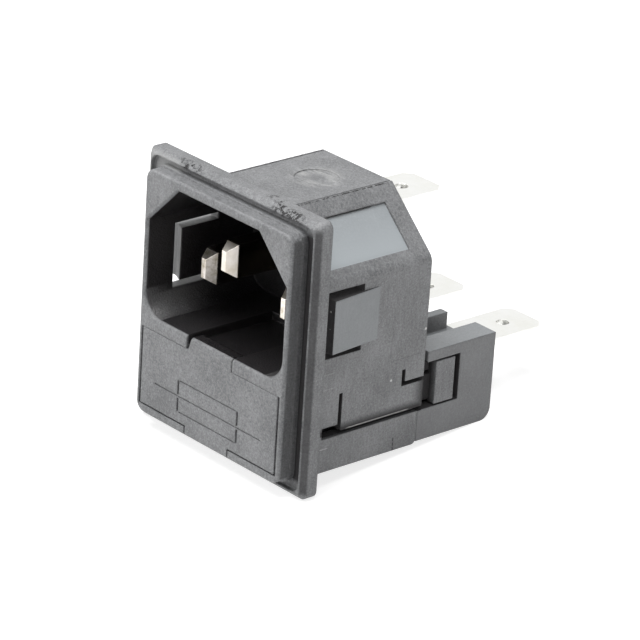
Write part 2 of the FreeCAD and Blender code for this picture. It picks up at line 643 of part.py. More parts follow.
def make_carrier():
    """The rear moulding: room for the tray's end, slots for two tabs, cheeks and barrier ribs."""
    body = new_body("contact_carrier")
    side = [
        ("skirt_rear + joint_gap", "block_base"), ("block_rear", "block_base"),
        ("block_rear", "deck"), ("block_front", "deck"),
        ("block_front", "skirt_top - joint_gap"), ("skirt_rear + joint_gap", "skirt_top - joint_gap"),
    ]
    pad(body, "Block", "YZ_Plane", minus("body_half"), "body_half", [side])
    cheeks = pair("cheek_in", "body_half", "deck", "cheek_top")
    pad(body, "Cheeks", "XZ_Plane", "block_front + cheek_gap", "block_rear", cheeks)
    collar = middle("cheek_in", "deck", "bay_top + collar_lap")
    pad(body, "Collar", "XZ_Plane", "block_front", "block_front + collar_thick", [collar])
    low, rear = value("block_base"), value("block_rear")
    round_off(body, "Heel", "heel_round", lambda edge: lies(edge, y=rear, z=low))
    ribs = pair("rib_side - rib_thick / 2", "rib_side + rib_thick / 2", "deck", "cheek_top")
    pad(body, "Ribs", "XZ_Plane", "block_front + cheek_gap", "block_rear - rib_back", ribs)
    room = middle("bay_half", "bay_base", "room_top")
    pocket(body, "Room", "XZ_Plane", "skirt_rear", "room_rear", [room])
    outer = pair("arm_skin", "body_half", "skirt_top", "window_top")
    pocket(body, "Windows", "XZ_Plane", "block_front", "window_rear", outer)
    catch = "hook_front - hook_gap"
    well = [
        ("block_front", "skirt_top"), ("window_rear", "skirt_top"), ("window_rear", "window_top"),
        (catch, "window_top"), (catch, "arm_top + slit_wide"),
        ("block_front", "arm_top + slit_wide"),
    ]
    for name, start, end in (
        ("RightWell", "bay_half - fit_gap", "arm_skin"),
        ("LeftWell", minus("arm_skin"), "fit_gap - bay_half"),
    ):
        pocket(body, name, "YZ_Plane", start, end, [well])
    half = "tab_wide / 2 + fit_gap"
    slots = pair(
        f"fuse_line - ({half})", f"fuse_line + {half}", "tab_base - fit_gap", "tab_top + fit_gap"
    )
    pocket(body, "TabSlots", "XZ_Plane", "room_rear", "block_rear", slots)
    return body


# --- fuse drawer ----------------------------------------------------------------------------------


def make_drawer():
    """The pull-out drawer: a front with two tabs, and a tray with two open troughs."""
    body = new_body("fuse_drawer")
    plate = middle("drawer_half", "drawer_base", "drawer_top")
    pad(body, "Front", "XZ_Plane", "front", "drawer_back", [plate])
    finger = [
        (minus("finger_half"), "drawer_top"), ("finger_half", "drawer_top"),
        ("finger_half", "cavity_base"), ("finger_slant - finger_half", "cavity_base"),
    ]
    pad(body, "Finger", "XZ_Plane", "front", "finger_back", [finger])
    face, top = value("front"), value("cavity_base")
    bevel(body, "FingerBevel", "mouth_bevel", lambda edge: lies(edge, y=face, z=top))
    toe = middle("toe_half", "-plate_top", "drawer_base")
    pad(body, "Toe", "XZ_Plane", "front", "drawer_back", [toe])
    base = value("plate_top")
    round_off(body, "ToeEdge", "plate_edge", lambda edge: lies(edge, y=face, z=-base))
    rails = middle("tray_half", "tray_base", "tray_base + rail_high")
    pad(body, "Rails", "XZ_Plane", "drawer_back", "tray_rear", [rails])
    tray = middle("wall_side", "tray_base + rail_high", "wall_top")
    pad(body, "Tray", "XZ_Plane", "drawer_back", "tray_rear", [tray])
    spine = middle("fuse_line - trough", "wall_top", "spine_top")
    pad(body, "Spine", "XZ_Plane", "drawer_back", "trough_rear", [spine])
    tail = middle("wall_side", "wall_top", "tail_top")
    pad(body, "Tail", "XZ_Plane", "trough_rear", "tray_rear", [tail])
    nose = middle("wall_side", "wall_top", "bay_top - slide_gap")
    pad(body, "Nose", "XZ_Plane", "drawer_back", "trough_front", [nose])
    bores = [[("fuse_line", "fuse_level", "trough")], [(minus("fuse_line"), "fuse_level", "trough")]]
    pocket(body, "Troughs", "XZ_Plane", "trough_front", "trough_rear", bores)
    mouths = pair("fuse_line - trough", "fuse_line + trough", "fuse_level", "wall_top")
    pocket(body, "TroughMouths", "XZ_Plane", "trough_front", "trough_rear", mouths)
    centre = "(fuse_start + fuse_rear) / 2"
    windows = pair(
        "fuse_line - push_wide / 2", "fuse_line + push_wide / 2",
        f"{centre} - push_long / 2", f"{centre} + push_long / 2",
    )
    pocket(body, "PushWindows", "XY_Plane", "tray_base", "fuse_level", windows)
    return body


# --- metal pieces ---------------------------------------------------------------------------------


def pin_section(side, level, wide, high):
    """A rectangle round a pin's centre line."""
    return box(
        f"{side} - {wide} / 2", f"{side} + {wide} / 2", f"{level} - {high} / 2", f"{level} + {high} / 2"
    )


def make_pin(name, side, level, tip):
    """A bar with a four-sided tapered tip."""
    body = new_body(name)
    root = f"{tip} + tip_long"
    bar = pin_section(side, level, "pin_wide", "pin_high")
    pad(body, "Bar", "XZ_Plane", root, "strip_seat", [bar])
    end = pin_section(side, level, "tip_wide", "tip_high")
    taper = body.newObject("PartDesign::AdditiveLoft", "Tip")
    taper.Profile = add_sketch(body, "TipEnd", "XZ_Plane", tip, [end])
    taper.Sections = [add_sketch(body, "TipRoot", "XZ_Plane", root, [bar])]
    taper.Ruled = True
    DOC.recompute()
    return body


def rivet(body, side, level, thick):
    """The shank through a strip of this thickness, and its head."""
    head = f"strip_seat + {thick} + 2 * fit_gap"
    pad(body, "Shank", "XZ_Plane", "strip_seat", head, [[(side, level, "rivet_wide / 2")]])
    pad(body, "Head", "XZ_Plane", head, f"{head} + rivet_proud", [[(side, level, "rivet_head / 2")]])


def make_strip(name, side):
    """A pole's strip: from its pin down the rear wall, forwards over the bay, and down to the fuse."""
    body = new_body(name)
    upper, lower = "bay_top - fit_gap", "bay_top - fit_gap - strip_thick"
    near, far = "strip_seat + fit_gap", "strip_seat + fit_gap + strip_thick"
    foot_front = "leaf_front - foot_long"
    side_view = [
        (near, "strip_top"), (far, "strip_top"), (far, lower), ("leaf_start", lower),
        ("leaf_front", "contact_level"), (foot_front, "contact_level"),
        (f"{foot_front} - leaf_tip", "contact_level + tip_rise"),
        (f"{foot_front} - leaf_tip", "contact_level + tip_rise + strip_thick"),
        (foot_front, "contact_level + strip_thick"), ("leaf_front", "contact_level + strip_thick"),
        ("leaf_start", upper), (near, upper),
    ]
    ends = f"{side} - strip_wide / 2", f"{side} + strip_wide / 2"
    pad(body, "Strip", "YZ_Plane", *ends, [side_view])
    rear = value("strip_seat") + value("fit_gap") + value("strip_thick")
    low = value("bay_top") - value("fit_gap") - value("strip_thick")
    round_off(body, "Bend", "strip_thick", lambda edge: lies(edge, y=rear, z=low))
    hole = [[(side, "live_level", "rivet_wide / 2 + fit_gap")]]
    pocket(body, "RivetHole", "XZ_Plane", "strip_seat", far, hole)
    return body


def blade_outline(side, start, tip):
    """A quick-connect blade seen from above, its tip's corners bevelled."""
    half = "tab_wide / 2"
    right = [
        (f"{side} + {half}", start), (f"{side} + {half}", f"{tip} - tab_bevel"),
        (f"{side} + {half} - tab_bevel", tip),
    ]
    left = [
        (f"{side} - {half} + tab_bevel", tip), (f"{side} - {half}", f"{tip} - tab_bevel"),
        (f"{side} - {half}", start),
    ]
    return right + left


def bevel_tip(body):
    """The lead-in above and below the tip of a quick-connect blade."""
    end, thick = body.Shape.BoundBox.YMax, value("tab_thick")
    bevel(body, "TipBevel", "tab_lead", lambda edge: lies(edge, y=end) and edge.Length > thick + NEAR)


def make_live_tab(name, side):
    """A pole's quick-connect tab, through its slot in the carrier."""
    body = new_body(name)
    tip = "block_rear + live_out"
    outline = blade_outline(side, "room_rear - tab_in", tip)
    pad(body, "Blade", "XY_Plane", "tab_base", "tab_top", [outline])
    hole = [[(side, f"{tip} - hole_back", "tab_hole / 2")]]
    pocket(body, "DetentHole", "XY_Plane", "tab_base", "tab_top", hole)
    bevel_tip(body)
    return body


def make_spring(name, side):
    """A pole's rear spring: flat on its tab, then down in front of it to the fuse's rear cap."""
    body = new_body(name)
    lap_front = "room_rear - tab_in - fit_gap"
    foot_rear = f"{lap_front} - spring_drop"
    foot_front = f"{foot_rear} - foot_long"
    under, over = "tab_top", "tab_top + spring_thick"
    side_view = [
        (f"{lap_front} + spring_lap", under), (f"{lap_front} + spring_lap", over),
        (f"{lap_front} - spring_thick", over),
        (f"{foot_rear} - spring_thick / 2", "contact_level + spring_thick"),
        (foot_front, "contact_level + spring_thick"),
        (f"{foot_front} - leaf_tip", "contact_level + tip_rise + spring_thick"),
        (f"{foot_front} - leaf_tip", "contact_level + tip_rise"),
        (foot_front, "contact_level"), (foot_rear, "contact_level"), (lap_front, under),
    ]
    ends = f"{side} - spring_wide / 2", f"{side} + spring_wide / 2"
    pad(body, "Leaf", "YZ_Plane", *ends, [side_view])
    return body


def make_earth_tab():
    """The earth tab: an upright foot riveted to its pin, bent to a blade that leaves the rear."""
    body = new_body("earth_tab")
    low, high = "earth_level + earth_lift", "earth_level + earth_lift + tab_thick"
    near, far = "strip_seat + fit_gap", "strip_seat + fit_gap + tab_thick"
    tip = "body_rear + earth_out"
    pad(body, "Blade", "XY_Plane", low, high, [blade_outline("0", near, tip)])
    foot = middle("tab_wide / 2", "earth_level - earth_foot", low)
    pad(body, "Foot", "XZ_Plane", near, far, [foot])
    bend = value("strip_seat") + value("fit_gap")
    top = value("earth_level") + value("earth_lift") + value("tab_thick")
    round_off(body, "Bend", "tab_thick / 2", lambda edge: lies(edge, y=bend, z=top))
    hole = [[("0", "earth_level", "rivet_wide / 2 + fit_gap")]]
    pocket(body, "RivetHole", "XZ_Plane", near, far, hole)
    hole = [[("0", f"{tip} - hole_back", "tab_hole / 2")]]
    pocket(body, "DetentHole", "XY_Plane", low, high, hole)
    bevel_tip(body)
    return body


# --- fuses ----------------------------------------------------------------------------------------


def make_rod(name, side, radius, start, end):
    """A round bar on a fuse's centre line."""
    body = new_body(name)
    pad(body, "Rod", "XZ_Plane", start, end, [[(side, "fuse_level", radius)]])
    return body


def make_fuse(pole, side):
    """A glass cartridge fuse: a tube, two caps and the wire between them."""
    glass_radius = "fuse_radius - cap_wall - fit_gap"
    inner_front, inner_rear = "fuse_start + cap_wall", "fuse_rear - cap_wall"
    glass_ends = f"{inner_front} + fit_gap", f"{inner_rear} - fit_gap"
    glass = make_rod(f"{pole}_fuse_glass", side, glass_radius, *glass_ends)
    bore = [[(side, "fuse_level", f"{glass_radius} - glass_wall")]]
    pocket(glass, "Bore", "XZ_Plane", *glass_ends, bore)
    cups = (
        ("front", "fuse_start", "fuse_start + fuse_cap", inner_front, "fuse_start + fuse_cap"),
        ("rear", "fuse_rear - fuse_cap", "fuse_rear", "fuse_rear - fuse_cap", inner_rear),
    )
    caps = []
    for end, start, stop, cup_start, cup_stop in cups:
        cap = make_rod(f"{pole}_fuse_{end}_cap", side, "fuse_radius", start, stop)
        cup = [[(side, "fuse_level", "fuse_radius - cap_wall")]]
        pocket(cap, "Cup", "XZ_Plane", cup_start, cup_stop, cup)
        face = value("fuse_start") if end == "front" else value("fuse_rear")
        bevel(cap, "CapEdge", "cap_wall", lambda edge: lies(edge, y=face))
        caps.append(cap)
    wire = make_rod(f"{pole}_fuse_wire", side, "wire_wide / 2", inner_front, inner_rear)
    return [glass, *caps, wire]


def make_pole(pole, hand):
    """Everything that one pole needs, on its own side of the inlet."""
    pin_side, fuse_side = f"{hand}live_line", f"{hand}fuse_line"
    pin = make_pin(f"{pole}_pin", pin_side, "live_level", "front + live_deep")
    rivet(pin, pin_side, "live_level", "strip_thick")
    strip = make_strip(f"{pole}_front_contact", pin_side)
    tab = make_live_tab(f"{pole}_tab", fuse_side)
    spring = make_spring(f"{pole}_rear_spring", fuse_side)
    return [pin, strip, tab, spring, *make_fuse(pole, fuse_side)]


def make_earth():
    pin = make_pin("earth_pin", "0", "earth_level", "front + earth_deep")
    rivet(pin, "0", "earth_level", "tab_thick")
    return [pin, make_earth_tab()]


def check(nodes):
    """Stop on a feature that failed or a piece that is not one valid solid."""
    for item in DOC.Objects:
        if "Invalid" in item.State or "Error" in item.State:
            raise ValueError(f"{item.Label} failed: {item.State}")
    for node in nodes:
        if node.Shape.isNull() or not node.Shape.isValid() or len(node.Shape.Solids) != 1:
            raise ValueError(f"{node.Label} is not one valid solid")


def main():
    nodes = [make_housing(), make_carrier(), make_drawer(), *make_earth()]
    # The neutral pole is on the right and the line pole on the left, seen from the front.
    nodes += make_pole("neutral", "")
    nodes += make_pole("line", "-")
    DOC.recompute()
    check(nodes)
    os.makedirs("parts", exist_ok=True)
    for node in nodes:
        node.Shape.exportStep(f"parts/{node.Label}.step")
        extent = node.Shape.BoundBox
        print(
            f"{node.Label:24s} {node.Shape.Volume:9.2f} mm3"
            f"  x {extent.XMin:7.2f} {extent.XMax:7.2f}"
            f"  y {extent.YMin:7.2f} {extent.YMax:7.2f}"
            f"  z {extent.ZMin:7.2f} {extent.ZMax:7.2f}"
        )


main()
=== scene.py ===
import math
from collections import namedtuple

import bmesh
import bpy
from mathutils import Matrix, Vector


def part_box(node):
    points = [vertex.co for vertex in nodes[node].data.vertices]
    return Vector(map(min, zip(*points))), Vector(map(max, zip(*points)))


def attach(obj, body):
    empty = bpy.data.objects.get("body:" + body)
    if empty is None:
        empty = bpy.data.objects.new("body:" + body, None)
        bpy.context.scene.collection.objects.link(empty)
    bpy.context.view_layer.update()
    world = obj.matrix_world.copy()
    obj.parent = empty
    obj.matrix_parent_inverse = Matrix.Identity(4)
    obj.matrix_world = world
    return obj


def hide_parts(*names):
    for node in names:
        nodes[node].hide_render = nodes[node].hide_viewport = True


# Looks of a snap-in panel inlet with a fuse drawer. X is to the right seen from the front, Y to the
# rear and Z up, from the centre of the flange's rear face. Lengths are in metres, and materials work
# in millimetres.

MM = 0.001

# Camera
AIM = Vector((2.76, 10.05, -1.58)) * MM
AZIMUTH, ELEVATION, ROLL = 47.57, 22.97, 3.70
DISTANCE = 461.68 * MM
LENS = 226.4

# Where the inlet stands: on its flange's lower rear edge and on the rounded heel of its carrier.
FLOOR_TILT = 5.18
FLOOR_HALF = 3.0

# Finishes, with painted light and shade, as linear colours
NYLON = (0.062, 0.064, 0.067, 1)
NYLON_CLOUD = (0.168, 0.171, 0.176, 1)
NYLON_SPECK = (0.260, 0.262, 0.264, 1)
# Painted shade for the cavity, gaps and crevices, also the colour of real nicks and seams
NYLON_SHADE_AND_NICKS = (0.010, 0.009, 0.010, 1)
# Painted sheen on the smooth sunk panels, and painted light on the carrier's upward deck
NYLON_SHEEN_AND_TOP_LIGHT = (0.262, 0.284, 0.298, 1)
# Painted sheen on the snap tongues
NYLON_TONGUE_SHEEN = (0.150, 0.162, 0.170, 1)
# Painted light on the left slots' walls
NYLON_LIT = (0.170, 0.171, 0.173, 1)
# Real rubbing round the gate, and painted light in the left end of the top groove
NYLON_RUBBED_AND_LIT = (0.250, 0.252, 0.250, 1)
# Real pale flash marks, and a painted highlight along the latch arm's rail
NYLON_FLASH_AND_HIGHLIGHT = (0.45, 0.45, 0.44, 1)
TIN = (0.86, 0.86, 0.84, 1)
TIN_DULL = (0.74, 0.74, 0.70, 1)
NICKEL = (0.80, 0.76, 0.72, 1)
NICKEL_WORN = (0.56, 0.50, 0.40, 1)
NICKEL_FRESH = (0.84, 0.79, 0.74, 1)
NICKEL_BROWN = (0.40, 0.35, 0.24, 1)
# Painted shade on the pins behind their tapered tips
NICKEL_SHADED_FLANK = (0.34, 0.31, 0.27, 1)
BRONZE = (0.62, 0.42, 0.24, 1)
BRONZE_DARK = (0.44, 0.30, 0.18, 1)
GLASS_TINT = (0.92, 0.96, 0.95, 1)

# Noises in the nylon: scale per millimetre, detail and roughness
CLOUD, MOTTLE, GRAIN = (0.16, 4.0, 0.6), (2.2, 3.0, 0.7), (4.0, 3.0, 0.8)
SCUFFS, PITS = (0.9, 4.0, 0.65), (1.9, 3.0, 0.7)
CLOUD_SHARE, MOTTLE_SHARE, GRAIN_SHARE = 0.25, 0.25, 0.5

# Relief and eased edges, in millimetres
NYLON_RELIEF, NYLON_EDGE = 0.09, 0.3
METAL_RELIEF, METAL_EDGE = 0.004, 0.08
GLASS_RELIEF, GLASS_EDGE = 0.01, 0.05

# How rough the smooth panels, the cavity and the hidden gaps are
PANEL_ROUGH, CAVITY_ROUGH, GAP_ROUGH, TAB_ROUGH = 0.34, 0.35, 0.9, 0.26

# The roof's right slope, in millimetres: a point on it and its outward normal
SLOPE_FOOT = Vector((13.5, 0.0, 8.4))
SLOPE_HEAD = Vector((6.0, 0.0, 15.19))
SLOPE_NORMAL = Vector((SLOPE_HEAD.z - SLOPE_FOOT.z, 0.0, SLOPE_FOOT.x - SLOPE_HEAD.x)).normalized()

CAVITY_MIDDLE = 5.58
FAR = 99.0

# Areas of the mouldings, in millimetres. Each limit has its low and high level and how softly it
# fades. "across" is the distance from the middle plane, "top_on" how far a surface faces up.
SUNK_PANELS = dict(across=(7.5, 12.35, 0.02), y=(0.02, 14.5, 0.01))
PANEL_DEPTH = (-0.45, -0.12, 0.02)
TONGUES = dict(across=(13.51, FAR, 0.01), y=(1.85, 9.3, 0.1), z=(0.17, 6.65, 0.02))
SLOTS = dict(across=(11.6, 14.4, 0.02), y=(0.05, 16.7, 0.02), z=(-14.2, 7.6, 0.02))
CAVITY = dict(across=(-1.0, 12.28, 0.05), y=(-3.65, 12.4, 0.1), z=(-3.9, 14.0, 0.05))
SKIRT_LEDGE = dict(across=(13.03, 13.6, 0.03), z=(-10.6, -10.4, 0.02), top_on=(0.8, 2.0, 0.05))
ARM_DIP = dict(across=(-1.0, 13.0, 0.4), y=(16.85, FAR, 0.05), z=(-11.0, -4.8, 0.02))
ARM_SIDE = dict(across=(13.4, 13.6, 0.02), y=(0.6, 16.9, 0.4), z=(-10.1, 0.0, 0.02))
ARM_END = dict(across=(12.6, 13.6, 0.1), y=(16.1, 18.0, 0.8), z=(-9.97, -6.7, 0.02))
GROOVE_FLOOR = dict(x=(12.6, 14.1, 0.05), y=(-1.75, -1.35, 0.1), z=(-14.9, 14.9, 0.3))
PLATE_SIDE = dict(x=(12.6, 14.1, 0.05), y=(-3.55, -1.75, 0.1), z=(-14.9, 14.9, 0.3))
FLANGE_BEVEL = dict(across=(14.3, FAR, 0.1), y=(-2.08, -1.45, 0.08), z=(-15.9, 15.9, 0.3))
# Painted light in the left end of the top groove
LEFT_GROOVE_LIGHT = dict(x=(-14.6, -9.0, 0.6), y=(-2.3, -1.2, 0.1), z=(13.0, 16.3, 0.3))
TOP_GROOVE = dict(y=(-2.4, -1.2, 0.2), z=(15.6, FAR, 0.1))
TOP_RIM = dict(x=(5.0, 7.6, 0.8), y=(-1.5, 0.0, 0.3), z=(16.6, FAR, 0.1))
ROOF_SEAM = dict(across=(5.9, 6.06, 0.03), y=(0.0, 16.0, 0.1), z=(15.0, FAR, 0.05))
ROOF_TOP = (15.02, FAR, 0.03)
# A painted highlight along the latch arm's lower edge, standing in for a lit thin rail
ARM_RAIL_HIGHLIGHT = dict(x=(13.4, 13.6, 0.02), y=(5.4, 14.6, 0.3), z=(-9.94, -9.82, 0.03))
WITNESS_LINE = dict(x=(13.4, 13.6, 0.02), y=(12.64, 12.76, 0.03), z=(-14.6, -13.0, 0.05))
INSERT_REAR = dict(x=(13.4, 13.6, 0.02), y=(11.5, 11.58, 0.03), z=(-2.8, 1.0, 0.1))
INSERT_FOOT = dict(x=(13.4, 13.6, 0.02), y=(11.5, 16.2, 0.05), z=(-3.28, -3.2, 0.03))
LATCH_WINDOWS = dict(across=(11.6, 13.46, 0.02), y=(16.2, 22.6, 0.02), z=(-10.6, -4.6, 0.02))
# Painted light on the carrier deck's upward faces
CARRIER_DECK_TOP_LIGHT = dict(z=(-5.6, FAR, 0.02), top_on=(0.8, 2.0, 0.05))
TAB_TOP = dict(y=(-3.65, FAR, 0.05), z=(-2.78, FAR, 0.03))

# Nicked stretches of the top groove, and the gate's ring on the roof
NICKED = ((-9.3, -5.8, 0.9), (6.8, 11.8, 0.9))
GATE_X, GATE_Y, GATE_RING = 0.5, 10.2, (1.2, 3.0, 0.6)

# A pit in the drawer's front
PIT_X, PIT_Z, PIT = -9.3, -10.62, (-1.0, 0.12, 0.05)

# Pale marks on the right side: front, rear, level and strength, or place and radius
SIDE_DASHES = (
    (1.2, 3.0, -2.5, 0.25), (1.2, 3.3, -4.35, 0.25), (1.5, 2.6, -11.71, 0.7), (7.0, 12.4, -13.05, 0.12),
)
SIDE_SPECKS = ((11.75, -5.6, 0.14), (16.6, -0.3, 0.16), (1.95, 5.2, 0.16), (1.9, 3.1, 0.08))
DASH_SKIN, SPECK_SKIN = (13.45, 13.6, 0.02), (13.4, 13.62, 0.02)

# The snap tongues' outer front edges and lower sides, and how far they are moved
TONGUE_SKIN, TONGUE_INNER = 13.4, 12.0
TONGUE_FRONT, TONGUE_FOOT = 2.1, 0.3
FRONT_LOW, FRONT_HIGH = 0.25, 6.7
FOOT_FORE, FOOT_REAR = 1.0, 9.4
FRONT_MOVE, FOOT_MOVE = 0.3, 0.12
NEAR = 0.02

# Where the pins' tapered tips end, in millimetres; behind them the pins are painted darker, as shade
EARTH_TIP_END, LIVE_TIP_END = -1.34, 1.71

# The fuse symbol on the drawer's front, in millimetres
SYMBOL_HALF = 5.25
SYMBOL_TOP, SYMBOL_LINE, SYMBOL_BASE = -8.7, -10.68, -12.6
SYMBOL_REACH = 9.4
SYMBOL_GAP = 0.22
STROKE, STROKE_DEEP = 0.30, 0.26
HAIRLINE, HAIRLINE_DEEP = 0.16, 0.12

# Light: the strength of the soft surroundings, and lamps with place, watts and size
SURROUNDINGS = 0.42
LAMPS = {
    "top_box": ((-0.05, -0.10, 0.50), 4.4, 0.40),
    "front_box": ((-0.30, -0.42, 0.16), 1.2, 0.35),
    "side_box": ((0.50, -0.15, 0.20), 0.3, 0.35),
}

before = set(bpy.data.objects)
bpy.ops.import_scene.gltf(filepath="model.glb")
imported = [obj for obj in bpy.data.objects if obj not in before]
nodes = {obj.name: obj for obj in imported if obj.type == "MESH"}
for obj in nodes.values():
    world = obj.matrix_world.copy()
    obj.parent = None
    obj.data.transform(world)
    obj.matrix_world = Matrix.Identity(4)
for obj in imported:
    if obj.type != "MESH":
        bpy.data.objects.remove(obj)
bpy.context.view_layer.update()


# --- node trees -----------------------------------------------------------------------------------


def new_material(name):
    material = bpy.data.materials.new(name)
    material.use_nodes = True
    tree = material.node_tree
    return material, tree, tree.nodes["Principled BSDF"]


def add(tree, kind, **settings):
    node = tree.nodes.new(kind)
    for key, value in settings.items():
        setattr(node, key, value)
    return node


def feed(tree, source, target):
    """Link a source to an input, or set the input to a plain value."""
    if isinstance(source, bpy.types.NodeSocket):
        tree.links.new(source, target)
    else:
        target.default_value = source


def own_place(tree):
    """The place of a point in its own piece, in millimetres."""
    coordinates = add(tree, "ShaderNodeTexCoord")
    node = add(tree, "ShaderNodeVectorMath", operation="SCALE")
    feed(tree, coordinates.outputs["Object"], node.inputs[0])
    feed(tree, 1 / MM, node.inputs["Scale"])
    return node.outputs[0]


def axes_of(tree, place):
    node = add(tree, "ShaderNodeSeparateXYZ")
    feed(tree, place, node.inputs[0])
    return node.outputs["X"], node.outputs["Y"], node.outputs["Z"]


def stretched(tree, place, x, y, z):
    node = add(tree, "ShaderNodeMapping")
    feed(tree, place, node.inputs["Vector"])
    feed(tree, (x, y, z), node.inputs["Scale"])
    return node.outputs["Vector"]


def noise(tree, place, scale, detail=2.0, roughness=0.5):
    node = add(tree, "ShaderNodeTexNoise")
    feed(tree, place, node.inputs["Vector"])
    feed(tree, scale, node.inputs["Scale"])
    feed(tree, detail, node.inputs["Detail"])
    feed(tree, roughness, node.inputs["Roughness"])
    return node.outputs["Fac"]


def ramp(tree, factor, low, high, start, end):
    """Map start..end of a factor to low..high, clamped."""
    node = add(tree, "ShaderNodeMapRange", clamp=True)
    feed(tree, factor, node.inputs["Value"])
    feed(tree, start, node.inputs["From Min"])
    feed(tree, end, node.inputs["From Max"])
    feed(tree, low, node.inputs["To Min"])
    feed(tree, high, node.inputs["To Max"])
    return node.outputs["Result"]


def sums(tree, operation, *terms):
    """One operation over all its terms, from left to right."""
    result = terms[0]
    for term in terms[1:]:
        node = add(tree, "ShaderNodeMath", operation=operation)
        feed(tree, result, node.inputs[0])
        feed(tree, term, node.inputs[1])
        result = node.outputs["Value"]
    return result


def total(tree, *terms):
    return sums(tree, "ADD", *terms)


def times(tree, *terms):
    return sums(tree, "MULTIPLY", *terms)


def most(tree, *terms):
    return sums(tree, "MAXIMUM", *terms)


def size_of(tree, term):
    node = add(tree, "ShaderNodeMath", operation="ABSOLUTE")
    feed(tree, term, node.inputs[0])
    return node.outputs["Value"]


def between(tree, term, low, high, soft):
    """1 where a term is between two levels, fading over the given width."""
    rising = ramp(tree, term, 0.0, 1.0, low - soft, low + soft)
    falling = ramp(tree, term, 1.0, 0.0, high - soft, high + soft)
    return times(tree, rising, falling)


def distance_from(tree, *levels):
    """How far a point is from a level in each of the given terms."""
    squares = []
    for term, level in levels:
        apart = sums(tree, "SUBTRACT", term, level)
        squares.append(times(tree, apart, apart))
    return sums(tree, "POWER", total(tree, *squares), 0.5)


def painted(tree, mask, below, above):
    """One colour over another where the mask says so."""
    node = add(tree, "ShaderNodeMix", data_type="RGBA")
    factor, first, second = node.inputs[0], node.inputs[6], node.inputs[7]
    feed(tree, mask, factor)
    feed(tree, below, first)
    feed(tree, above, second)
    return node.outputs[2]


def mixed(tree, mask, below, above):
    node = add(tree, "ShaderNodeMix", data_type="FLOAT")
    feed(tree, mask, node.inputs[0])
    feed(tree, below, node.inputs[2])
    feed(tree, above, node.inputs[3])
    return node.outputs[0]


def relief(tree, height, depth, normal):
    """Bump of a given depth in millimetres."""
    node = add(tree, "ShaderNodeBump")
    feed(tree, height, node.inputs["Height"])
    feed(tree, 1.0, node.inputs["Strength"])
    feed(tree, depth * MM, node.inputs["Distance"])
    feed(tree, normal, node.inputs["Normal"])
    return node.outputs["Normal"]


def eased_edges(tree, radius):
    """A normal that turns over every edge, as no moulded or stamped edge is quite sharp."""
    node = add(tree, "ShaderNodeBevel", samples=6)
    feed(tree, radius * MM, node.inputs["Radius"])
    return node.outputs["Normal"]


# --- nylon ----------------------------------------------------------------------------------------


Spot = namedtuple("Spot", "x y z across side_on top_on outward")


def spot_of(tree, place):
    """Where a point of a moulding is, and which way its surface faces."""
    x, y, z = axes_of(tree, place)
    facing_x, facing_y, facing_z = axes_of(tree, add(tree, "ShaderNodeTexCoord").outputs["Normal"])
    lift = sums(tree, "SUBTRACT", z, CAVITY_MIDDLE)
    outward = total(tree, times(tree, x, facing_x), times(tree, lift, facing_z))
    return Spot(x, y, z, size_of(tree, x), size_of(tree, facing_x), facing_z, outward)


def inside(tree, spot, area):
    """1 inside an area, fading at its limits."""
    limits = [between(tree, getattr(spot, term), *limit) for term, limit in area.items()]
    return times(tree, *limits)


def nylon(name, marks, spread, streak):
    """Black nylon from a spark-eroded mould: clouded, finely grained and marked as the piece is, with
    painted light and shade from its marks.

    The spread is how softly the clouds fade, and the streak draws their mottle out along Z.
    """
    material, tree, shader = new_material(name)
    place = own_place(tree)
    cloud = noise(tree, place, *CLOUD)
    mottle = noise(tree, stretched(tree, place, 1.0, 1.0, streak), *MOTTLE)
    grain = noise(tree, place, *GRAIN)
    shade = total(
        tree, times(tree, cloud, CLOUD_SHARE), times(tree, mottle, MOTTLE_SHARE),
        times(tree, grain, GRAIN_SHARE),
    )
    tone = painted(tree, ramp(tree, shade, 0.0, 1.0, 0.5 - spread, 0.5 + spread), NYLON, NYLON_CLOUD)
    tone = painted(tree, ramp(tree, grain, 0.0, 0.7, 0.62, 0.8), tone, NYLON_SPECK)
    rough = ramp(tree, mottle, 0.38, 0.56, 0.3, 0.7)
    tone, rough, height = marks(tree, place, tone, rough, grain)
    feed(tree, tone, shader.inputs["Base Color"])
    feed(tree, rough, shader.inputs["Roughness"])
    feed(tree, 1.6, shader.inputs["IOR"])
    feed(tree, 0.5, shader.inputs["Specular IOR Level"])
    normal = relief(tree, height, NYLON_RELIEF, eased_edges(tree, NYLON_EDGE))
    feed(tree, normal, shader.inputs["Normal"])
    return material


def panel_mask(tree, spot):
    """The smooth panels sunk in the roof's slopes."""
    out = total(
        tree, times(tree, spot.across, SLOPE_NORMAL.x), times(tree, spot.z, SLOPE_NORMAL.z),
        -SLOPE_FOOT.dot(SLOPE_NORMAL),
    )
    return times(
        tree, between(tree, out, *PANEL_DEPTH), inside(tree, spot, SUNK_PANELS),
        ramp(tree, spot.outward, 0.0, 1.0, 1.0, 1.1),
    )


def slot_mask(tree, spot):
    """The faces inside the slots and slits of the side walls."""
    return times(tree, inside(tree, spot, SLOTS), ramp(tree, spot.side_on, 1.0, 0.0, 0.6, 0.8))


def cavity_shade_mask(tree, spot):
    """The inside of the connector cavity, where shade is painted."""
    return times(tree, inside(tree, spot, CAVITY), ramp(tree, spot.outward, 1.0, 0.0, 0.3, 0.4))


